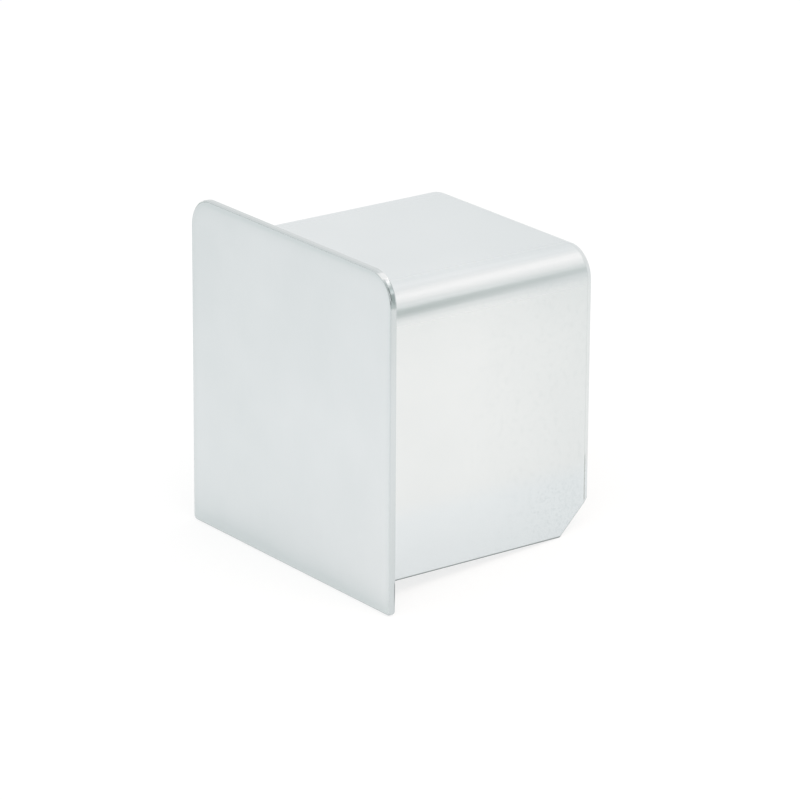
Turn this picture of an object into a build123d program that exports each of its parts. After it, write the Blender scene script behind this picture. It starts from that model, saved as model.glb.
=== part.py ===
"""End cap for an open-bottomed box profile: a face plate with a folded insert welded behind it.

Millimetres. The origin is the centre of the plate's back face, which the end of the profile meets.
+X is across the cap, +Y is the way the insert goes into the profile, and +Z is up.
"""
import os

from build123d import *

# Face plate
plate_width = 68.0
plate_height = 70.0
plate_thickness = 1.5
plate_top_radius = 6.5
plate_bottom_radius = 1.0
plate_edge_radius = 0.4

# Insert: one sheet folded to an upside-down U
channel_width = 55.5
channel_depth = 53.0
channel_sheet = 1.0
bend_radius = 6.5
rim_above = 6.0
rim_below = 4.2
corner_cut = 7.0
lead_in_length = 1.0
lead_in_depth = 0.25
edge_break = 0.2

# Weld stitches in the corner between the insert and the plate
bead_leg = 1.8
bead_length = 10.0
leg_bead_pitch = 30.0
web_bead_pitch = 24.0

# Heights that follow from the sizes above
channel_top = plate_height / 2 - rim_above
channel_foot = -plate_height / 2 + rim_below
channel_height = channel_top - channel_foot
inner_half_width = channel_width / 2 - channel_sheet
web_underside = channel_top - channel_sheet

into_profile = (0, 1, 0)
upright = Plane(origin=(0, 0, 0), x_dir=(1, 0, 0), z_dir=(0, -1, 0))


def arch(width, height, radius):
    """Rectangle standing on the insert's foot line, with its two upper corners rounded."""
    area = Rectangle(width, height, align=(Align.CENTER, Align.MIN))
    area = fillet(area.vertices().group_by(Axis.Y)[-1], radius)
    return upright * Pos(0, channel_foot) * area


def face_plate():
    """Flat plate in front of the origin plane, its edges rounded front and back."""
    outline = Rectangle(plate_width, plate_height)
    outline = fillet(outline.vertices().group_by(Axis.Y)[-1], plate_top_radius)
    outline = fillet(outline.vertices().group_by(Axis.Y)[0], plate_bottom_radius)
    plate = extrude(upright * outline, plate_thickness)
    rims = plate.faces().sort_by(Axis.Y)[0].edges() + plate.faces().sort_by(Axis.Y)[-1].edges()
    return fillet(rims, plate_edge_radius)


def insert_channel():
    """Folded channel, open below and at its far end, standing square on the back of the plate."""
    body = extrude(arch(channel_width, channel_height, bend_radius), channel_depth, dir=into_profile)
    far_foot = body.edges().filter_by(Axis.X).group_by(Axis.Y)[-1].sort_by(Axis.Z)[0]
    body = chamfer(far_foot, corner_cut)
    far_face = body.faces().sort_by(Axis.Y)[-1]
    lead_in = far_face.edges().sort_by(Axis.Z)[1:]
    body = chamfer(lead_in, lead_in_depth, lead_in_length, reference=far_face)
    hollow = arch(2 * inner_half_width, channel_height - channel_sheet, bend_radius - channel_sheet)
    channel = body - extrude(hollow, channel_depth, dir=into_profile)
    cut_faces = channel.faces().filter_by(Axis.Z).group_by(Axis.Z)[0]
    cut_faces += channel.faces().filter_by(Axis((0, 0, 0), (0, 1, -1)))
    lower_edges = cut_faces.edges().filter_by(Axis.X, reverse=True)
    return fillet(lower_edges, edge_break)


def weld_bead():
    """Quarter-round stitch along Z with rounded ends, in the corner between the planes X = 0 and Y = 0."""
    straight = bead_length - 2 * bead_leg
    ends = [Pos(0, 0, side * straight / 2) * Sphere(bead_leg) for side in (-1, 1)]
    capsule = Cylinder(bead_leg, straight) + ends
    corner = Box(bead_leg, bead_leg, bead_length, align=(Align.MIN, Align.MIN, Align.CENTER))
    return capsule & corner


def weld_beads():
    """Two stitches on each leg and two under the web, all inside the channel."""
    bead = weld_bead()
    leg_centre = (channel_foot + web_underside) / 2
    left = [
        Pos(-inner_half_width, 0, leg_centre + side * leg_bead_pitch / 2) * bead
        for side in (-1, 1)
    ]
    right = [mirror(stitch, about=Plane.YZ) for stitch in left]
    web = [
        Pos(side * web_bead_pitch / 2, 0, web_underside) * Rot(0, 90, 0) * bead
        for side in (-1, 1)
    ]
    return Compound(children=left + right + web)


os.makedirs("parts", exist_ok=True)
export_step(face_plate(), "parts/face_plate.step")
export_step(insert_channel(), "parts/insert_channel.step")
export_step(weld_beads(), "parts/weld_beads.step")
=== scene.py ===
import math

import bmesh
import bpy
from mathutils import Matrix, Quaternion, Vector


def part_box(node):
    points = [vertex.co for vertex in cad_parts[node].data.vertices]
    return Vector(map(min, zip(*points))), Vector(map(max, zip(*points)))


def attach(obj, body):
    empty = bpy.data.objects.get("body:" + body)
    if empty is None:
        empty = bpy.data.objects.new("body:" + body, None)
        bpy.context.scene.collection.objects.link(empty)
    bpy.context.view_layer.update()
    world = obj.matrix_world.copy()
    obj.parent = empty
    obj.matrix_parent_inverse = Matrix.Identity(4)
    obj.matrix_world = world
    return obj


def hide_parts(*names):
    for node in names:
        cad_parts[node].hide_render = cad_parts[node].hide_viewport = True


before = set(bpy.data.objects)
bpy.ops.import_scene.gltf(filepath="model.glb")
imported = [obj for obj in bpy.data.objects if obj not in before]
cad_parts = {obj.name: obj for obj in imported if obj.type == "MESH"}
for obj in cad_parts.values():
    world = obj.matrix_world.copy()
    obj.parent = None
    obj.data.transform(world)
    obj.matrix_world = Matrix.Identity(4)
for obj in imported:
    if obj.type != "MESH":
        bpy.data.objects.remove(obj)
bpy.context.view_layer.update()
mm = 0.001
plateLow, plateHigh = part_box("face_plate")
insertLow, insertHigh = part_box("insert_channel")
print("frame loaded:", ", ".join(sorted(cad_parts)))


# Node helpers

def addNode(tree, kind, inputs=None, **settings):
    made = tree.nodes.new(kind)
    for name, value in settings.items():
        setattr(made, name, value)
    for name, value in (inputs or {}).items():
        if isinstance(value, bpy.types.NodeSocket):
            tree.links.new(value, made.inputs[name])
        else:
            made.inputs[name].default_value = value
    return made


def calc(tree, operation, first, second=0.0, third=0.0, clamp=False):
    return addNode(tree, "ShaderNodeMath", {0: first, 1: second, 2: third},
                   operation=operation, use_clamp=clamp).outputs[0]


def product(tree, first, *others):
    for other in others:
        first = calc(tree, "MULTIPLY", first, other)
    return first


def layered(tree, start, *layers):
    # The start, with each layer added in its amount
    for layer, amount in layers:
        start = calc(tree, "MULTIPLY_ADD", layer, amount, start)
    return start


def vectorCalc(tree, operation, first, second=None, output="Vector"):
    inputs = {0: first} if second is None else {0: first, 1: second}
    return addNode(tree, "ShaderNodeVectorMath", inputs, operation=operation).outputs[output]


def ramp(tree, value, start, end, low=0.0, high=1.0, smooth=True):
    return addNode(tree, "ShaderNodeMapRange",
                   {"Value": value, "From Min": start, "From Max": end, "To Min": low, "To Max": high},
                   interpolation_type="SMOOTHSTEP" if smooth else "LINEAR").outputs["Result"]


def band(tree, value, start, full, fading, end):
    # Rises from start to full and falls from fading to end
    return product(tree, ramp(tree, value, start, full), ramp(tree, value, end, fading))


def falloff(tree, distance, reach, power):
    # 1 at no distance, 0 from reach on
    return calc(tree, "POWER", ramp(tree, distance, reach, 0.0, smooth=False), power)


def noise(tree, place, scale, detail=2.0, roughness=0.5):
    return addNode(tree, "ShaderNodeTexNoise",
                   {"Vector": place, "Scale": scale, "Detail": detail, "Roughness": roughness},
                   noise_dimensions="3D").outputs["Fac"]


def stretched(tree, place, scale):
    return addNode(tree, "ShaderNodeMapping", {"Vector": place, "Scale": scale}).outputs["Vector"]


def mixColour(tree, factor, first, second, blend="MIX"):
    return addNode(tree, "ShaderNodeMix", {"Factor": factor, 6: first, 7: second},
                   data_type="RGBA", blend_type=blend).outputs[2]


def newGroup(name, inputs, outputs):
    tree = bpy.data.node_groups.new(name, "ShaderNodeTree")
    for socketName, kind in inputs:
        tree.interface.new_socket(socketName, in_out="INPUT", socket_type=kind)
    for socketName, kind in outputs:
        tree.interface.new_socket(socketName, in_out="OUTPUT", socket_type=kind)
    return tree, tree.nodes.new("NodeGroupInput").outputs, tree.nodes.new("NodeGroupOutput").inputs


def placeGroup(tree, group, inputs):
    return addNode(tree, "ShaderNodeGroup", inputs, node_tree=group).outputs


def depthFromCorner(tree, sideways, upwards, halfWidth, top, radius):
    # Distance in mm inwards from an outline whose upper corners have this radius
    across = calc(tree, "ADD", calc(tree, "SUBTRACT", sideways, halfWidth), radius)
    above = calc(tree, "ADD", calc(tree, "SUBTRACT", upwards, top), radius)
    corner = addNode(tree, "ShaderNodeCombineXYZ",
                     {"X": calc(tree, "MAXIMUM", across, 0.0), "Y": calc(tree, "MAXIMUM", above, 0.0)})
    reach = vectorCalc(tree, "LENGTH", corner.outputs[0], output="Value")
    flat = calc(tree, "MINIMUM", calc(tree, "MAXIMUM", across, above), 0.0)
    return calc(tree, "SUBTRACT", radius, calc(tree, "ADD", reach, flat))


def newMaterial(name):
    made = bpy.data.materials.new(name)
    made.use_nodes = True
    tree = made.node_tree
    tree.nodes.clear()
    return made, tree, tree.nodes.new("ShaderNodeOutputMaterial").inputs["Surface"]


def newMetal(name):
    # A material with a Principled shader, and the place on the piece in mm
    made, tree, surface = newMaterial(name)
    shader = tree.nodes.new("ShaderNodeBsdfPrincipled")
    tree.links.new(shader.outputs[0], surface)
    coordinates = tree.nodes.new("ShaderNodeTexCoord").outputs["Object"]
    return made, tree, shader, stretched(tree, coordinates, (1 / mm,) * 3)


def finishMetal(tree, shader, colour, roughness, height):
    bump = addNode(tree, "ShaderNodeBump", {"Height": height, "Strength": 1.0, "Distance": mm}).outputs[0]
    for name, socket in (("Base Color", colour), ("Roughness", roughness), ("Normal", bump)):
        tree.links.new(socket, shader.inputs[name])
    shader.inputs["Metallic"].default_value = 1.0


def newObject(name, bm, material):
    mesh = bpy.data.meshes.new(name)
    bm.to_mesh(mesh)
    bm.free()
    mesh.materials.append(material)
    made = bpy.data.objects.new(name, mesh)
    bpy.context.scene.collection.objects.link(made)
    return made


# Weld stitches, in the same places as the CAD's: inside the insert, on the back of the plate

stitchValues = {
    "leg": 1.8 * mm,
    "length": 10.0 * mm,
    "sheet": 1.0 * mm,
    "legPitch": 30.0 * mm,
    "webPitch": 24.0 * mm,
    "ripples": 11,
    "ringsPerRipple": 6,
    "rippleDepth": 0.05,          # share of the bead's radius
    "endFlat": 0.04,              # share of the radius left at the bead's two ends
    "sides": 28,
    "sharpAngle": 50.0,
    "colour": (0.64, 0.65, 0.645, 1),
    "darkColour": (0.40, 0.41, 0.42, 1),
    "baseTone": 0.35,             # 0 is the colour, 1 the dark colour
    "hairSize": 0.35,
    "hairAmount": 0.3,
    "cloudSize": 2.4,
    "cloudAmount": 0.55,
    "roughness": 0.34,
    "roughnessSwing": 0.10,
    "tintReach": 7.0,             # mm
    "tintAmount": 0.25,
}


def stitchPlaces(values):
    innerWall = insertHigh.x - values["sheet"]
    webUnderside = insertHigh.z - values["sheet"]
    legMiddle = (insertLow.z + webUnderside) / 2
    places = []
    for side in (-1, 1):
        for end, word in ((-1, "Low"), (1, "High")):
            name = ("stitchLeft" if side < 0 else "stitchRight") + word
            corner = Vector((side * innerWall, 0, legMiddle + end * values["legPitch"] / 2))
            places.append((name, corner, Vector((0, 0, 1)), Vector((-side, 0, 0))))
    for side, word in ((-1, "Left"), (1, "Right")):
        corner = Vector((side * values["webPitch"] / 2, 0, webUnderside))
        places.append(("stitchTop" + word, corner, Vector((1, 0, 0)), Vector((0, 0, -1))))
    return places


def distanceToStitch(tree, place, corner, along, values):
    # Distance in mm from a stitch's centre line
    half = (values["length"] / 2 - values["leg"]) / mm
    offset = vectorCalc(tree, "SUBTRACT", place, tuple(corner / mm))
    travel = vectorCalc(tree, "DOT_PRODUCT", offset, tuple(along), output="Value")
    held = addNode(tree, "ShaderNodeClamp", {"Value": travel, "Min": -half, "Max": half}).outputs[0]
    nearest = addNode(tree, "ShaderNodeVectorMath", {0: tuple(along), "Scale": held}, operation="SCALE")
    return vectorCalc(tree, "DISTANCE", offset, nearest.outputs[0], output="Value")


def nearestStitch(tree, place, values):
    distance = None
    for _, corner, along, _ in stitchPlaces(values):
        one = distanceToStitch(tree, place, corner, along, values)
        distance = one if distance is None else calc(tree, "MINIMUM", distance, one)
    return calc(tree, "SUBTRACT", distance, values["leg"] / mm)


# Effects shared by the metal finishes. A noise is given by its scale, detail and roughness

effectValues = {
    "fineDetail": (3.0, 0.62),    # detail and roughness
    "fineWeight": 1.4,
    "coarseScale": 0.22,          # against the fine hair lines
    "coarseWeight": 0.6,
    "cloudDetail": (2.5, 0.55),
    "hairHeight": 0.01,
    "wearNoise": (0.9, 3.0, 0.6),
    "wearFull": 0.35,             # share of the reach that is fully worn
    "tintNoise": (0.35, 2.0, 0.5),
    "tintWander": 1.6,
    "tintFull": 0.21,             # share of the reach that is fully tinted
    "tintStops": ((0.11, (0.50, 0.53, 0.56, 1)), (0.35, (0.56, 0.62, 0.72, 1)),
                  (0.56, (0.78, 0.70, 0.60, 1)), (0.88, (0.82, 0.82, 0.78, 1))),
}


def buildSatinGrain(values):
    # Ground satin: short hair lines along Run, with soft clouds of tone over them
    tree, given, result = newGroup(
        "satinGrain",
        [("Place", "NodeSocketVector"), ("Run", "NodeSocketVector"), ("Hair Size", "NodeSocketFloat"),
         ("Cloud Size", "NodeSocketFloat"), ("Cloud Shift", "NodeSocketVector")],
        [("Hair", "NodeSocketFloat"), ("Cloud", "NodeSocketFloat"), ("Height", "NodeSocketFloat")])
    along = vectorCalc(tree, "MULTIPLY", given["Place"], given["Run"])
    fine = noise(tree, along, calc(tree, "DIVIDE", 1.0, given["Hair Size"]), *values["fineDetail"])
    coarse = noise(tree, along, calc(tree, "DIVIDE", values["coarseScale"], given["Hair Size"]))
    hair = layered(tree, -1.0, (coarse, values["coarseWeight"]), (fine, values["fineWeight"]))
    drifted = vectorCalc(tree, "ADD", given["Place"], given["Cloud Shift"])
    cloud = noise(tree, drifted, calc(tree, "DIVIDE", 1.0, given["Cloud Size"]), *values["cloudDetail"])
    tree.links.new(hair, result["Hair"])
    tree.links.new(layered(tree, -1.0, (cloud, 2.0)), result["Cloud"])
    tree.links.new(product(tree, hair, values["hairHeight"]), result["Height"])
    return tree


def buildEdgeWear(values):
    # A worn, slightly uneven band that runs Reach deep from an edge
    tree, given, result = newGroup(
        "edgeWear",
        [("Place", "NodeSocketVector"), ("Distance", "NodeSocketFloat"), ("Reach", "NodeSocketFloat"),
         ("Unevenness", "NodeSocketFloat")],
        [("Mask", "NodeSocketFloat")])
    wander = calc(tree, "SUBTRACT", noise(tree, given["Place"], *values["wearNoise"]), 0.5)
    shifted = layered(tree, given["Distance"], (wander, given["Unevenness"]))
    share = calc(tree, "DIVIDE", shifted, given["Reach"])
    tree.links.new(ramp(tree, share, 1.0, values["wearFull"]), result["Mask"])
    return tree


def buildHeatTint(values):
    # Straw to blue-grey oxide beside a weld, as it is left after a quick clean
    tree, given, result = newGroup(
        "heatTint",
        [("Place", "NodeSocketVector"), ("Reach", "NodeSocketFloat")],
        [("Tint", "NodeSocketColor"), ("Mask", "NodeSocketFloat")])
    wander = noise(tree, given["Place"], *values["tintNoise"])
    distance = nearestStitch(tree, given["Place"], stitchValues)
    away = calc(tree, "DIVIDE", layered(tree, distance, (wander, values["tintWander"])), given["Reach"])
    bands = addNode(tree, "ShaderNodeValToRGB", {"Fac": away})
    elements = bands.color_ramp.elements
    for index, (position, colour) in enumerate(values["tintStops"]):
        element = elements[index] if index < len(elements) else elements.new(position)
        element.position, element.color = position, colour
    tree.links.new(bands.outputs["Color"], result["Tint"])
    tree.links.new(ramp(tree, away, 1.0, values["tintFull"]), result["Mask"])
    return tree


def placeGrain(tree, place, values):
    return placeGroup(tree, satinGrain, {
        "Place": place, "Run": values["hairRun"], "Hair Size": values["hairSize"],
        "Cloud Size": values["cloudSize"], "Cloud Shift": values["cloudShift"]})


def placeWear(tree, place, distance, values):
    return placeGroup(tree, edgeWear, {
        "Place": place, "Distance": distance, "Reach": values["edgeReach"],
        "Unevenness": values["edgeUnevenness"]})["Mask"]


satinGrain = buildSatinGrain(effectValues)
edgeWear = buildEdgeWear(effectValues)
heatTint = buildHeatTint(effectValues)
print("shared effects built")


# Face plate. Lengths are in mm. Two numbers are where a ramp starts and ends, four are a band's rise
# and fall

plateValues = {
    "topRadius": 6.5,
    "bottomRadius": 1.0,
    "colour": (0.733, 0.763, 0.776, 1),
    "shade": (0.638, 0.683, 0.691, 1),
    "baseTone": 0.22,             # 0 is the colour, 1 the shade
    "hairRun": (1.0, 1.0, 0.10),
    "hairSize": 0.22,
    "hairAmount": 0.10,
    "cloudSize": 21.0,
    "cloudShift": (144.0, -58.0, -149.0),
    "cloudAmount": 0.42,
    # The rim, end, foot, lip, slant and upper-band tones are painted shade
    "rimReach": 2.2,
    "rimPower": 1.6,
    "rimShadeAmount": 0.45,
    "endReach": 5.5,
    "endPower": 2.0,
    "endShadeAmount": 0.50,
    "footReach": 9.0,
    "footPower": 2.0,
    "footShadeAmount": 0.80,
    "lipReach": 1.8,
    "lipPower": 1.2,
    "lipShadeAmount": (0.75, 0.40),    # upper end, lower end
    "slantShade": -0.0045,             # tone per mm across the plate
    "upperBand": (4.0, 13.0, 28.0, 33.0),
    "upperShadeAmount": 0.08,
    "edgeReach": 0.5,
    "edgeUnevenness": 0.25,
    "topEdgeColour": (0.61, 0.645, 0.65, 1),
    "edgeColour": (0.610, 0.651, 0.666, 1),
    "edgeShade": (0.57, 0.612, 0.622, 1),
    "sideDepth": (1.4, 0.4),
    "sideUpper": (8.0, 26.0),
    "sideLower": (-4.0, -20.0),
    "sideLowerShare": 0.35,
    # A dark line of painted shade on the rear rounding at the insert's foot
    "cornerShadeLineColour": (0.20, 0.23, 0.235, 1),
    "cornerLineDepth": (-0.50, -0.30),
    "cornerLineFoot": (1.0, 0.6),     # above the plate's foot and above the insert's
    "cornerLineTop": (2.3, 2.9),      # above the insert's foot
    "cornerLineAmount": 0.9,
    "markDepth": (0.32, 0.16),
    "markSide": (28.0, 29.0),
    "markNoise": (0.8, 2.0, 0.5),
    "markWobble": 0.8,
    # Painted shade and a painted highlight on each rounded corner
    "paintedCornerShadeColour": (0.42, 0.47, 0.47, 1),
    "paintedCornerShadeBands": ((28.1, 28.8, 29.2, 30.1), (31.2, 32.0, 32.9, 33.5)),
    "paintedHighlightColour": (0.88, 0.89, 0.89, 1),
    "paintedHighlightBand": (33.5, 33.9, 34.3, 34.7),
    "paintedHighlightAmount": 0.8,
    "tintReach": 7.0,
    "tintDepth": (-0.2, -0.05),
    "tintMargin": 0.6,
    "tintAmount": 0.7,
    "roughness": 0.30,
    "roughnessSwing": 0.035,
    "edgeRoughness": 0.20,
    "grainHeight": 0.25,
    "dubReach": 4.5,
    "dubPower": 2.0,
    "dubDepth": 0.10,
}


def plateOutlineDistance(tree, parts, values):
    # Distance in mm inwards from the plate's rounded outline
    upper = calc(tree, "GREATER_THAN", parts["Z"], 0.0)
    radius = layered(tree, values["bottomRadius"], (upper, values["topRadius"] - values["bottomRadius"]))
    sideways, upwards = calc(tree, "ABSOLUTE", parts["X"]), calc(tree, "ABSOLUTE", parts["Z"])
    return depthFromCorner(tree, sideways, upwards, plateHigh.x / mm, plateHigh.z / mm, radius)


def plateFaceColour(tree, parts, inwards, grain, values):
    # Painted shade: the upper and lower ends are darker further in than the sides
    fromEnd = calc(tree, "SUBTRACT", plateHigh.z / mm, calc(tree, "ABSOLUTE", parts["Z"]))
    fromFoot = calc(tree, "SUBTRACT", parts["Z"], plateLow.z / mm)
    lipTop, lipFoot = values["lipShadeAmount"]
    # Tone: clouds and hair lines, with painted shade towards the rim, the ends, the foot and the upper
    # lip, across the plate and in an upper band
    tone = layered(
        tree, product(tree, grain["Cloud"], values["cloudAmount"]),
        (grain["Hair"], values["hairAmount"]),
        (falloff(tree, inwards, values["rimReach"], values["rimPower"]), values["rimShadeAmount"]),
        (falloff(tree, fromEnd, values["endReach"], values["endPower"]), values["endShadeAmount"]),
        (falloff(tree, fromFoot, values["footReach"], values["footPower"]), values["footShadeAmount"]),
        (falloff(tree, fromEnd, values["lipReach"], values["lipPower"]),
         ramp(tree, parts["Z"], -1.0, 1.0, low=lipFoot, high=lipTop)),
        (parts["X"], values["slantShade"]),
        (band(tree, parts["Z"], *values["upperBand"]), values["upperShadeAmount"]))
    tone = calc(tree, "ADD", tone, values["baseTone"], clamp=True)
    return mixColour(tree, tone, values["colour"], values["shade"])


def plateEdgeColour(tree, parts, values):
    # Painted shade: the narrow side faces are darker towards their ends
    darkened = calc(tree, "MAXIMUM", ramp(tree, parts["Z"], *values["sideUpper"]),
                product(tree, ramp(tree, parts["Z"], *values["sideLower"]), values["sideLowerShare"]))
    sideColour = mixColour(tree, darkened, values["edgeColour"], values["edgeShade"])
    # At the foot of the insert the rear rounding carries a dark line of painted shade
    insertFoot = insertLow.z / mm
    lineStart, lineFull = values["cornerLineFoot"]
    lineFading, lineEnd = values["cornerLineTop"]
    rearShadeLine = product(tree, ramp(tree, parts["Y"], *values["cornerLineDepth"]),
                       band(tree, parts["Z"], plateLow.z / mm + lineStart, insertFoot + lineFull,
                            insertFoot + lineFading, insertFoot + lineEnd))
    sideColour = mixColour(tree, product(tree, rearShadeLine, values["cornerLineAmount"]),
                           sideColour, values["cornerShadeLineColour"])
    sideStart, sideFull = (plateHigh.x / mm - depth for depth in values["sideDepth"])
    onSide = ramp(tree, calc(tree, "ABSOLUTE", parts["X"]), sideStart, sideFull)
    return mixColour(tree, onSide, values["topEdgeColour"], sideColour)


def paintCornerReflections(tree, place, parts, inwards, colour, values):
    # Painted reflections: each rounded corner gets two patches of painted shade and one painted highlight
    onCorner = product(tree, ramp(tree, inwards, *values["markDepth"]),
                       ramp(tree, calc(tree, "ABSOLUTE", parts["X"]), *values["markSide"]))
    wobble = layered(tree, calc(tree, "ADD", parts["Z"], -values["markWobble"] / 2),
                     (noise(tree, place, *values["markNoise"]), values["markWobble"]))
    lowPatch, highPatch = (band(tree, wobble, *edges) for edges in values["paintedCornerShadeBands"])
    paintedCornerShade = product(tree, calc(tree, "ADD", lowPatch, highPatch), onCorner)
    paintedHighlight = product(tree, band(tree, wobble, *values["paintedHighlightBand"]), onCorner,
                       values["paintedHighlightAmount"])
    colour = mixColour(tree, paintedCornerShade, colour, values["paintedCornerShadeColour"])
    return mixColour(tree, paintedHighlight, colour, values["paintedHighlightColour"])


def tintPlate(tree, place, parts, colour, values):
    # Heat tint shows only on the back, inside the insert
    tint = placeGroup(tree, heatTint, {"Place": place, "Reach": values["tintReach"]})
    side, top, margin = insertHigh.x / mm, insertHigh.z / mm, values["tintMargin"]
    heated = product(tree, ramp(tree, parts["Y"], *values["tintDepth"]),
                     ramp(tree, calc(tree, "ABSOLUTE", parts["X"]), side, side - margin),
                     ramp(tree, parts["Z"], top, top - margin), tint["Mask"], values["tintAmount"])
    return mixColour(tree, heated, colour, tint["Tint"])


def buildSatinPlate(values):
    made, tree, shader, place = newMetal("satinPlate")
    parts = addNode(tree, "ShaderNodeSeparateXYZ", {0: place}).outputs
    inwards = plateOutlineDistance(tree, parts, values)
    grain = placeGrain(tree, place, values)
    worn = placeWear(tree, place, inwards, values)
    colour = mixColour(tree, worn, plateFaceColour(tree, parts, inwards, grain, values),
                       plateEdgeColour(tree, parts, values))
    colour = paintCornerReflections(tree, place, parts, inwards, colour, values)
    colour = tintPlate(tree, place, parts, colour, values)
    roughness = layered(tree, values["roughness"], (grain["Hair"], values["roughnessSwing"]),
                        (worn, values["edgeRoughness"] - values["roughness"]))
    # The grinding belt leaves the rim slightly dubbed off
    height = layered(tree, product(tree, grain["Height"], values["grainHeight"]),
                     (falloff(tree, inwards, values["dubReach"], values["dubPower"]), -values["dubDepth"]))
    finishMetal(tree, shader, colour, roughness, height)
    return made


# Insert, given in the same way

insertValues = {
    "cornerCut": 7.0,
    "bendRadius": 6.5,
    "leadIn": 1.0,
    "colour": (0.760, 0.789, 0.797, 1),
    "shade": (0.660, 0.700, 0.710, 1),
    "baseTone": 0.15,             # 0 is the colour, 1 the shade
    "hairRun": (1.0, 0.10, 1.0),
    "hairSize": 0.22,
    "hairAmount": 0.06,
    "cloudSize": 24.0,
    "cloudShift": (-53.0, -344.0, -327.0),
    "cloudAmount": 0.30,
    # The far, top and leg tones are painted shade
    "farReach": 28.0,
    "farShadeAmount": 0.36,
    "topDepth": (0.5, 0.1),
    "topShadeAmount": 0.12,
    "belowBendShade": (10.0, 0.5),
    "bendShadeAmount": 0.26,
    "upperHeights": (-4.0, 6.0),
    "upperShadeAmount": 0.055,
    "farRim": (9.0, 1.0),
    "farRimShadeAmount": 0.07,
    # Painted light: a warmer tint on the legs and a bluer one along the foot
    "legHue": (1.006, 1.0, 0.994, 1),
    "footHue": (0.987, 1.0, 1.012, 1),
    "footHueHeights": (17.0, 11.0),
    "bendEdge": 1.0,              # half the width over which a bend fades into the flats
    "streakStretch": (1.1, 0.012, 1.1),
    "streakNoise": (1.6, 2.0, 0.6),
    "streakAmount": 0.30,
    "streakHeight": 0.010,
    "bendRoughening": 0.05,
    "speckPlace": (8.5, 6.5),     # from the far end and from the foot
    "speckReach": (10.5, 3.0),
    "speckNoise": (1.7, 3.0, 0.7),
    "speckEdge": (0.54, 0.60),
    "speckAmount": 0.62,
    "markNoise": (0.8, 3.0, 0.6),
    "markEdge": (0.55, 0.62),
    "markSpread": (48.0, 15.0),
    "markAmount": 0.18,
    "nickStretch": (1.0, 0.6, 2.2),
    "nickNoise": (1.3, 2.0, 0.7),
    "nickEdge": (0.58, 0.66),
    "nickFar": (5.0, 2.0),
    "nickHeights": (20.0, 14.0),
    "nickAmount": -0.45,
    "insideColour": (0.70, 0.725, 0.725, 1),
    "insideDepth": (0.75, 0.90),
    "midBend": (0.3, 1.35),
    "insideAmount": 0.8,
    "insideRoughening": 0.10,
    "edgeColour": (0.52, 0.555, 0.55, 1),
    "edgeReach": 0.38,
    "edgeUnevenness": 0.16,
    "farEdgeShift": 0.3,
    "edgeRoughening": 0.12,
    "burrShift": 0.08,
    "burrNoise": (0.9, 3.0, 0.7),
    "burrWidth": 0.27,
    "burrEdge": (0.06, -0.06),
    "burrHeights": (-0.4, 0.2, 9.0, 10.5),    # above the corner cut
    "burrDepth": (0.45, 0.30),
    "burrHeight": 0.05,
    "hemWidth": (0.16, 0.04),
    "hemAmount": 0.30,
    # Painted shade: a dark line along the foot
    "footShadeColour": (0.22, 0.25, 0.255, 1),
    "footShadeLine": (0.42, 0.22),
    "footShadeLineAmount": 0.82,
    "tintReach": 7.0,
    "tintAmount": 0.75,
    "roughness": 0.27,
    "roughnessSwing": 0.008,
    "grainHeight": 0.10,
}


def buildSpecks(tree, place, parts, values):
    # Specks near the lower far corner
    fromFar, fromFoot = values["speckPlace"]
    cornerPoint = (0.0, insertHigh.y / mm - fromFar, insertLow.z / mm + fromFoot)
    flatPlace = addNode(tree, "ShaderNodeCombineXYZ", {"X": 0.0, "Y": parts["Y"], "Z": parts["Z"]})
    fromCorner = vectorCalc(tree, "DISTANCE", flatPlace.outputs[0], cornerPoint, output="Value")
    dots = ramp(tree, noise(tree, place, *values["speckNoise"]), *values["speckEdge"])
    return product(tree, layered(tree, 0.1, (dots, 0.9)), ramp(tree, fromCorner, *values["speckReach"]))


def buildNicks(tree, place, fromFar, fromFoot, values):
    # Short nicks across the metal beside the burr
    nickPlace = stretched(tree, place, values["nickStretch"])
    return product(tree, ramp(tree, noise(tree, nickPlace, *values["nickNoise"]), *values["nickEdge"]),
                   ramp(tree, fromFar, *values["nickFar"]), ramp(tree, fromFoot, *values["nickHeights"]))


def buildBurr(tree, place, sideways, fromFar, fromFoot, values):
    # Jagged burr just inside the lead-in, low on the leg
    line = values["leadIn"] - values["burrShift"]
    fromLine = calc(tree, "ABSOLUTE", calc(tree, "SUBTRACT", fromFar, line))
    upright = stretched(tree, place, (0.0, 0.0, 1.0))
    jag = product(tree, noise(tree, upright, *values["burrNoise"]), values["burrWidth"])
    heights = (values["cornerCut"] + height for height in values["burrHeights"])
    outerStart, outerFull = (insertHigh.x / mm - depth for depth in values["burrDepth"])
    return product(tree, ramp(tree, calc(tree, "SUBTRACT", fromLine, jag), *values["burrEdge"]),
                   band(tree, fromFoot, *heights), ramp(tree, sideways, outerStart, outerFull))


def buildLegShadeAndMarks(tree, place, parts, fromFar, bendFloor, values):
    # Painted shade: the legs are darker below the bend, in their upper part and along the far rim
    start, end = (bendFloor - drop for drop in values["belowBendShade"])
    belowBendShade = ramp(tree, parts["Z"], start, end, smooth=False)
    # Faint marks from handling, more of them towards the far end
    marks = product(tree, ramp(tree, noise(tree, place, *values["markNoise"]), *values["markEdge"]),
                    ramp(tree, fromFar, *values["markSpread"]))
    return layered(tree, product(tree, belowBendShade, values["bendShadeAmount"]),
                   (ramp(tree, parts["Z"], *values["upperHeights"]), values["upperShadeAmount"]),
                   (ramp(tree, fromFar, *values["farRim"]), values["farRimShadeAmount"]),
                   (marks, values["markAmount"]))


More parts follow.
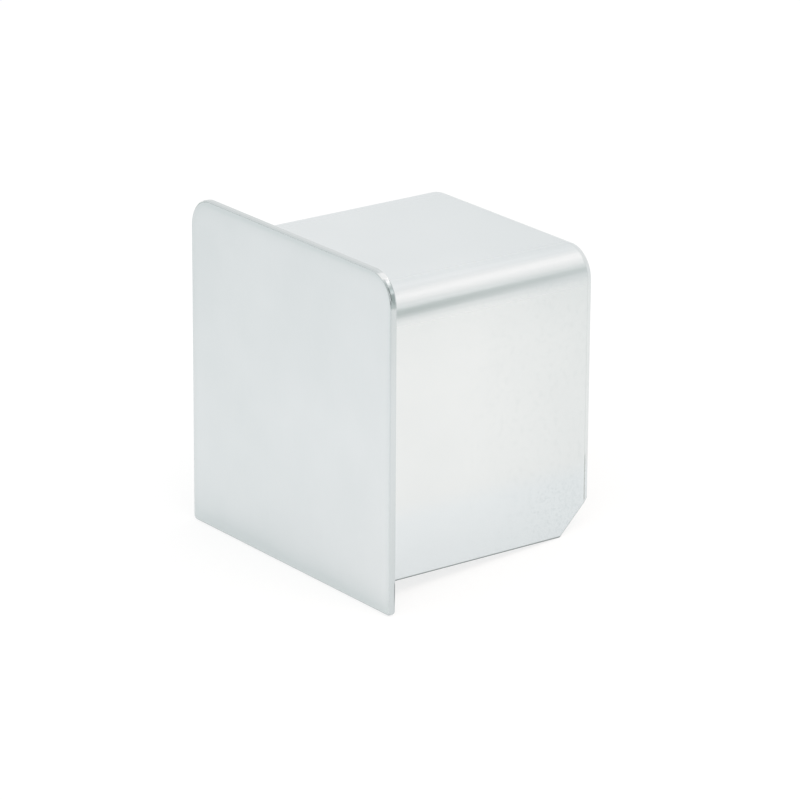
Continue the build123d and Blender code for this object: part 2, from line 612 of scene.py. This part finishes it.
def buildSatinInsert(values):
    made, tree, shader, place = newMetal("satinInsert")
    parts = addNode(tree, "ShaderNodeSeparateXYZ", {0: place}).outputs
    sideways = calc(tree, "ABSOLUTE", parts["X"])
    halfWidth, top = insertHigh.x / mm, insertHigh.z / mm
    grain = placeGrain(tree, place, values)
    # Distance in mm from the nearest sheared edge: far end, foot and corner cut
    fromFar = calc(tree, "SUBTRACT", insertHigh.y / mm, parts["Y"])
    fromFoot = calc(tree, "SUBTRACT", parts["Z"], insertLow.z / mm)
    fromCut = calc(tree, "SUBTRACT", calc(tree, "ADD", fromFar, fromFoot), values["cornerCut"])
    fromCut = product(tree, fromCut, math.sqrt(0.5))
    fromShear = calc(tree, "MINIMUM", calc(tree, "ADD", fromFar, values["farEdgeShift"]), fromFoot)
    worn = placeWear(tree, place, calc(tree, "MINIMUM", fromShear, fromCut), values)
    # Bend zone: the corner of the arch, with streaks along it
    bendStart, bendFloor = halfWidth - values["bendRadius"], top - values["bendRadius"]
    fade = values["bendEdge"]
    inBend = product(tree, ramp(tree, sideways, bendStart - fade, bendStart + fade),
                     ramp(tree, parts["Z"], bendFloor - fade, bendFloor + fade))
    drawn = noise(tree, stretched(tree, place, values["streakStretch"]), *values["streakNoise"])
    streaks = product(tree, layered(tree, -1.0, (drawn, 2.0)), inBend)
    # Tone: clouds, hair lines, specks, streaks and nicks, with painted shade towards the far end, on the
    # top and on the legs
    topStart, topFull = (top - depth for depth in values["topDepth"])
    onLeg = ramp(tree, parts["Z"], bendFloor + 3.0, bendFloor)
    tone = layered(
        tree, product(tree, grain["Cloud"], values["cloudAmount"]),
        (grain["Hair"], values["hairAmount"]),
        (buildSpecks(tree, place, parts, values), values["speckAmount"]),
        (streaks, values["streakAmount"]),
        (ramp(tree, fromFar, values["farReach"], 0.0, smooth=False), values["farShadeAmount"]),
        (ramp(tree, parts["Z"], topStart, topFull), values["topShadeAmount"]),
        (buildLegShadeAndMarks(tree, place, parts, fromFar, bendFloor, values), onLeg),
        (buildNicks(tree, place, fromFar, fromFoot, values), values["nickAmount"]))
    tone = calc(tree, "ADD", tone, values["baseTone"], clamp=True)
    colour = mixColour(tree, tone, values["colour"], values["shade"])
    # Painted light: the legs are tinted a little warmer than the top, and bluer along the foot
    atFoot = ramp(tree, fromFoot, *values["footHueHeights"])
    hue = mixColour(tree, atFoot, values["legHue"], values["footHue"])
    colour = mixColour(tree, onLeg, colour, hue, blend="MULTIPLY")
    # Inside faces and the middle of each outer bend are darker
    depth = depthFromCorner(tree, sideways, parts["Z"], halfWidth, top, values["bendRadius"])
    inside = ramp(tree, depth, *values["insideDepth"])
    start, full = values["midBend"]
    midBend = product(tree, ramp(tree, sideways, halfWidth - start, halfWidth - full),
                      ramp(tree, parts["Z"], top - start, top - full))
    darkened = calc(tree, "MAXIMUM", inside, midBend)
    colour = mixColour(tree, product(tree, darkened, values["insideAmount"]), colour, values["insideColour"])
    # Edges: the worn rim, a thin hem behind the lead-in, the burr, and a dark line of painted shade along
    # the foot
    burr = buildBurr(tree, place, sideways, fromFar, fromFoot, values)
    fromHem = calc(tree, "ABSOLUTE", calc(tree, "SUBTRACT", fromFar, values["leadIn"]))
    hem = product(tree, ramp(tree, fromHem, *values["hemWidth"]), values["hemAmount"])
    edges = calc(tree, "MAXIMUM", calc(tree, "MAXIMUM", worn, hem), burr)
    colour = mixColour(tree, edges, colour, values["edgeColour"])
    # A dark line of painted shade along the foot
    footShadeLine = product(tree, ramp(tree, fromFoot, *values["footShadeLine"]), values["footShadeLineAmount"])
    colour = mixColour(tree, footShadeLine, colour, values["footShadeColour"])
    tint = placeGroup(tree, heatTint, {"Place": place, "Reach": values["tintReach"]})
    heated = product(tree, inside, tint["Mask"], values["tintAmount"])
    colour = mixColour(tree, heated, colour, tint["Tint"])
    roughness = layered(tree, values["roughness"], (grain["Hair"], values["roughnessSwing"]),
                        (inBend, values["bendRoughening"]), (darkened, values["insideRoughening"]),
                        (worn, values["edgeRoughening"]))
    height = layered(tree, product(tree, grain["Height"], values["grainHeight"]),
                     (streaks, values["streakHeight"]), (burr, values["burrHeight"]))
    finishMetal(tree, shader, colour, roughness, height)
    return made


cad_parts["face_plate"].material_slots[0].material = buildSatinPlate(plateValues)
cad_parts["insert_channel"].material_slots[0].material = buildSatinInsert(insertValues)
print("satin finishes on the plate and the insert")


# Rippled beads in place of the CAD's smooth stitches

def buildWeldMetal(values):
    made, tree, shader, place = newMetal("weldMetal")
    grain = placeGroup(tree, satinGrain, {
        "Place": place, "Run": (1.0, 1.0, 1.0), "Hair Size": values["hairSize"],
        "Cloud Size": values["cloudSize"]})
    tone = calc(tree, "MULTIPLY_ADD", grain["Cloud"], values["cloudAmount"],
                layered(tree, values["baseTone"], (grain["Hair"], values["hairAmount"])), clamp=True)
    colour = mixColour(tree, tone, values["colour"], values["darkColour"])
    tint = placeGroup(tree, heatTint, {"Place": place, "Reach": values["tintReach"]})
    colour = mixColour(tree, values["tintAmount"], colour, tint["Tint"])
    roughness = layered(tree, values["roughness"], (grain["Cloud"], values["roughnessSwing"]))
    finishMetal(tree, shader, colour, roughness, grain["Height"])
    return made


def ringRadius(step, rings, values):
    # Radius and travel of one ring: round ends, and a groove between two ripples
    half = values["length"] / 2
    travel = -half + values["length"] * step / rings
    overrun = max(0.0, abs(travel) - (half - values["leg"]))
    endShape = math.sqrt(max(values["endFlat"] ** 2, 1 - (overrun / values["leg"]) ** 2))
    phase = (step * values["ripples"] / rings) % 1.0
    ripple = 1 - values["rippleDepth"] * (1 - math.sqrt(max(0.0, 1 - (2 * phase - 1) ** 2)))
    return values["leg"] * endShape * ripple, travel


def buildStitch(name, corner, along, inwards, material, values):
    # A disc drawn along the corner ring by ring, then cut flush with the two sheets
    bm = bmesh.new()
    bmesh.ops.create_circle(bm, cap_ends=True, segments=values["sides"], radius=values["leg"])
    rings = values["ripples"] * values["ringsPerRipple"]
    radius, travel = ringRadius(0, rings, values)
    bmesh.ops.scale(bm, vec=(radius / values["leg"],) * 2 + (1,), verts=bm.verts)
    bmesh.ops.translate(bm, vec=(0, 0, travel), verts=bm.verts)
    front = bm.faces[:]
    for step in range(1, rings + 1):
        nextRadius, nextTravel = ringRadius(step, rings, values)
        grown = bmesh.ops.extrude_face_region(bm, geom=front)
        if step > 1:
            # The extrusion leaves the last disc inside the bead
            bmesh.ops.delete(bm, geom=front, context="FACES_ONLY")
        front = [piece for piece in grown["geom"] if isinstance(piece, bmesh.types.BMFace)]
        moved = [piece for piece in grown["geom"] if isinstance(piece, bmesh.types.BMVert)]
        bmesh.ops.translate(bm, vec=(0, 0, nextTravel - travel), verts=moved)
        factor = nextRadius / radius
        bmesh.ops.scale(bm, vec=(factor, factor, 1), verts=moved)
        radius, travel = nextRadius, nextTravel
    bmesh.ops.recalc_face_normals(bm, faces=bm.faces)
    # Local X points into the channel, local Y into the profile, local Z along the corner
    turn = Matrix((inwards, Vector((0, 1, 0)), along)).transposed().to_4x4()
    for cutNormal in (Vector((-1, 0, 0)), Vector((0, -1, 0))):
        cut = bmesh.ops.bisect_plane(bm, geom=bm.verts[:] + bm.edges[:] + bm.faces[:], dist=1e-7,
                                     plane_co=(0, 0, 0), plane_no=cutNormal, clear_outer=True)
        rim = [piece for piece in cut["geom_cut"] if isinstance(piece, bmesh.types.BMEdge)]
        bmesh.ops.contextual_create(bm, geom=rim)
    bmesh.ops.transform(bm, matrix=Matrix.Translation(corner) @ turn, verts=bm.verts)
    bmesh.ops.recalc_face_normals(bm, faces=bm.faces)
    piece = newObject(name, bm, material)
    piece.data.shade_smooth()
    piece.data.set_sharp_from_angle(angle=math.radians(values["sharpAngle"]))
    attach(piece, "root")
    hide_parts("weld_beads")


weldMetal = buildWeldMetal(stitchValues)
for stitchName, stitchCorner, stitchAlong, stitchInwards in stitchPlaces(stitchValues):
    buildStitch(stitchName, stitchCorner, stitchAlong, stitchInwards, weldMetal, stitchValues)
print("weld stitches laid inside the insert")


# Floor, laid against the plate's lower edge and the insert's rear feet, on which the part rests

floorValues = {
    "halfSize": 2.5,
    "colour": (0.86, 0.86, 0.855, 1),
    "lift": 0.17,                 # white added for the eye and for reflections, to meet the background
    "plateEdgeRadius": 0.4 * mm,
    "shadowShare": 0.6,           # how much of the shadow the reflections see
    "shadowSeen": 0.32,           # and how much the eye sees
    "fadeStart": 0.25,
    "fadeEnd": 0.8,
}


def seenDirectly(tree):
    # 1 for the camera, for reflections and for what shows through glass
    path = tree.nodes.new("ShaderNodeLightPath").outputs
    seen = calc(tree, "MAXIMUM", path["Is Camera Ray"], path["Is Glossy Ray"])
    return calc(tree, "MAXIMUM", seen, path["Is Transmission Ray"])


def emission(tree, colour, strength):
    return addNode(tree, "ShaderNodeEmission", {"Color": colour, "Strength": strength}).outputs[0]


def mixShaders(tree, factor, first, second):
    return addNode(tree, "ShaderNodeMixShader", {0: factor, 1: first, 2: second}).outputs[0]


def buildFloorMaterial(values, middle):
    made, tree, surface = newMaterial("paleFloor")
    matte = addNode(tree, "ShaderNodeBsdfDiffuse", {"Color": values["colour"]}).outputs[0]
    glow = emission(tree, (1, 1, 1, 1), values["lift"])
    lit = addNode(tree, "ShaderNodeAddShader", {0: matte, 1: glow}).outputs[0]
    coordinates = tree.nodes.new("ShaderNodeTexCoord").outputs["Object"]
    away = vectorCalc(tree, "DISTANCE", coordinates, tuple(middle), output="Value")
    direct = tree.nodes.new("ShaderNodeLightPath").outputs["Is Camera Ray"]
    near = layered(tree, 1 - values["shadowShare"], (direct, values["shadowShare"] - values["shadowSeen"]))
    fade = ramp(tree, away, values["fadeStart"], values["fadeEnd"], low=near)
    shown = mixShaders(tree, fade, lit, emission(tree, (1, 1, 1, 1), 1.0))
    seen = mixShaders(tree, seenDirectly(tree), matte, shown)
    # From below the floor is open, so that the underside can be looked at
    clear = tree.nodes.new("ShaderNodeBsdfTransparent").outputs[0]
    under = tree.nodes.new("ShaderNodeNewGeometry").outputs["Backfacing"]
    tree.links.new(mixShaders(tree, under, seen, clear), surface)
    return made


def buildFloor(values):
    radius = values["plateEdgeRadius"]
    pivot = Vector((0, plateHigh.y - radius, plateLow.z + radius))
    foot = Vector((0, insertHigh.y - insertValues["cornerCut"] * mm, insertLow.z))
    span = foot - pivot
    tilt = math.atan2(span.z, span.y) + math.asin(radius / span.length)
    bm = bmesh.new()
    bmesh.ops.create_grid(bm, x_segments=1, y_segments=1, size=values["halfSize"])
    bmesh.ops.rotate(bm, cent=(0, 0, 0), matrix=Matrix.Rotation(tilt, 3, "X"), verts=bm.verts)
    bmesh.ops.translate(bm, vec=foot, verts=bm.verts)
    floor = newObject("floor", bm, buildFloorMaterial(values, foot))


buildFloor(floorValues)
print("floor laid")


# Studio: pale surround, lamps over the part and behind it, and grey cards that only reflections see

partMiddle = (0.0, 0.026, -0.005)
studioValues = {
    "surround": 0.92,
    "surroundColour": (0.99, 1.0, 1.0, 1),
    "cardColour": (0.90, 1.0, 0.955, 1),
    "lamps": [
        {"name": "keyLamp", "azimuth": 80.0, "elevation": 62.0, "distance": 1.1, "width": 0.7,
         "height": 0.7, "power": 1.9, "colour": (1.0, 0.985, 0.97), "mirrored": False, "aim": partMiddle},
        {"name": "sideLamp", "azimuth": 80.0, "elevation": 78.0, "distance": 0.20, "width": 0.10,
         "height": 0.10, "power": 0.095, "colour": (1.0, 0.74, 0.60), "mirrored": False,
         "aim": (0.130, 0.045, -0.03)},
        {"name": "frontLamp", "azimuth": -40.0, "elevation": 80.0, "distance": 0.20, "width": 0.10,
         "height": 0.10, "power": 0.020, "colour": (1.0, 1.0, 1.0), "mirrored": False,
         "aim": (-0.045, -0.060, -0.035)},
        {"name": "stripLamp", "azimuth": 150.0, "elevation": 51.5, "distance": 0.9, "width": 0.7,
         "height": 0.13, "power": 0.385, "colour": (1.0, 0.87, 0.86), "mirrored": True, "aim": partMiddle},
        {"name": "lowLamp", "azimuth": 128.0, "elevation": 35.0, "distance": 0.300, "width": 0.18,
         "height": 0.045, "power": 0.0110, "colour": (1.0, 1.0, 1.0), "mirrored": True, "aim": partMiddle},
        {"name": "rearLamp", "azimuth": 212.0, "elevation": 46.0, "distance": 0.9, "width": 0.45,
         "height": 0.25, "power": 0.038, "colour": (1.0, 0.87, 0.86), "mirrored": True, "aim": partMiddle},
    ],
    "cards": [
        {"name": "cardBehind", "azimuth": 123.0, "distance": 0.18, "width": 0.12,
         "low": (-0.003, 0.111), "high": (0.102, 0.121), "grey": 0.565},
        {"name": "cardBeside", "azimuth": 85.0, "distance": 0.70, "width": 0.65,
         "low": (0.098, 0.098), "high": (0.834, 0.834), "grey": 0.25},
        {"name": "cardFront", "azimuth": 20.0, "distance": 1.20, "width": 2.2,
         "low": (-0.126, -0.126), "high": (0.105, 0.105), "grey": 0.35},
        {"name": "cardLeft", "azimuth": -70.0, "distance": 1.20, "width": 2.2,
         "low": (-0.126, -0.126), "high": (0.105, 0.105), "grey": 0.64},
    ],
}


def fromAngles(azimuth, elevation, distance):
    # Azimuth 0 stands in front of the plate and 90 on the +X side
    turn, rise = math.radians(azimuth), math.radians(elevation)
    flat = distance * math.cos(rise)
    return Vector((math.sin(turn) * flat, -math.cos(turn) * flat, math.sin(rise) * distance))


def buildSurround(values):
    world = bpy.data.worlds.new("paleStudio")
    bpy.context.scene.world = world
    world.use_nodes = True
    tree = world.node_tree
    tree.nodes.clear()
    output = tree.nodes.new("ShaderNodeOutputWorld")
    light = addNode(tree, "ShaderNodeBackground",
                    {"Color": values["surroundColour"], "Strength": values["surround"]}).outputs[0]
    white = addNode(tree, "ShaderNodeBackground", {"Color": (1, 1, 1, 1), "Strength": 1.0}).outputs[0]
    tree.links.new(mixShaders(tree, seenDirectly(tree), light, white), output.inputs["Surface"])


def buildLamp(values):
    lamp = bpy.data.lights.new(values["name"], "AREA")
    lamp.shape = "RECTANGLE"
    lamp.size, lamp.size_y = values["width"], values["height"]
    lamp.energy, lamp.color = values["power"], values["colour"]
    box = bpy.data.objects.new(values["name"], lamp)
    bpy.context.scene.collection.objects.link(box)
    away = fromAngles(values["azimuth"], values["elevation"], values["distance"])
    box.location = Vector(values["aim"]) + away
    box.rotation_euler = (-away).to_track_quat("-Z", "Y").to_euler()
    box.visible_glossy = values["mirrored"]


def buildCard(values, colour):
    # An upright card facing the part; its edges may slope, its heights are above the part's middle
    made, tree, surface = newMaterial(values["name"])
    tree.links.new(emission(tree, colour, values["grey"]), surface)
    bm = bmesh.new()
    bmesh.ops.create_grid(bm, x_segments=1, y_segments=1, size=0.5)
    bmesh.ops.scale(bm, vec=(values["width"], 1, 1), verts=bm.verts)
    for vert in list(bm.verts):
        height = values["high" if vert.co.y > 0 else "low"][int(vert.co.x > 0)]
        bmesh.ops.translate(bm, vec=(0, -values["distance"] - vert.co.y, height), verts=[vert])
    turn = Matrix.Rotation(math.radians(values["azimuth"]), 3, "Z")
    bmesh.ops.rotate(bm, cent=(0, 0, 0), matrix=turn, verts=bm.verts)
    bmesh.ops.translate(bm, vec=partMiddle, verts=bm.verts)
    card = newObject(values["name"], bm, made)
    card.visible_camera = card.visible_diffuse = card.visible_shadow = False


def buildStudio(values):
    buildSurround(values)
    for lamp in values["lamps"]:
        buildLamp(lamp)
    for card in values["cards"]:
        buildCard(card, values["cardColour"])


buildStudio(studioValues)
print("studio lit")


# Camera

cameraValues = {
    "aim": (0.0, 0.02613, -0.00512),
    "azimuth": 53.25,
    "elevation": 19.18,
    "roll": 0.34,
    "distance": 0.9777,
    "lens": 217.15,
    "sensor": 36.0,
    "clip": (0.01, 50.0),
}


def buildCamera(values):
    lens = bpy.data.cameras.new("camera")
    lens.sensor_width, lens.lens = values["sensor"], values["lens"]
    lens.clip_start, lens.clip_end = values["clip"]
    lens.dof.use_dof = False
    camera = bpy.data.objects.new("camera", lens)
    bpy.context.scene.collection.objects.link(camera)
    away = fromAngles(values["azimuth"], values["elevation"], values["distance"])
    camera.location = Vector(values["aim"]) + away
    camera.rotation_mode = "QUATERNION"
    level = (-away).to_track_quat("-Z", "Y")
    camera.rotation_quaternion = level @ Quaternion((0, 0, 1), math.radians(values["roll"]))
    bpy.context.scene.camera = camera


buildCamera(cameraValues)
bpy.context.scene.view_settings.view_transform = "Standard"
print("camera set")
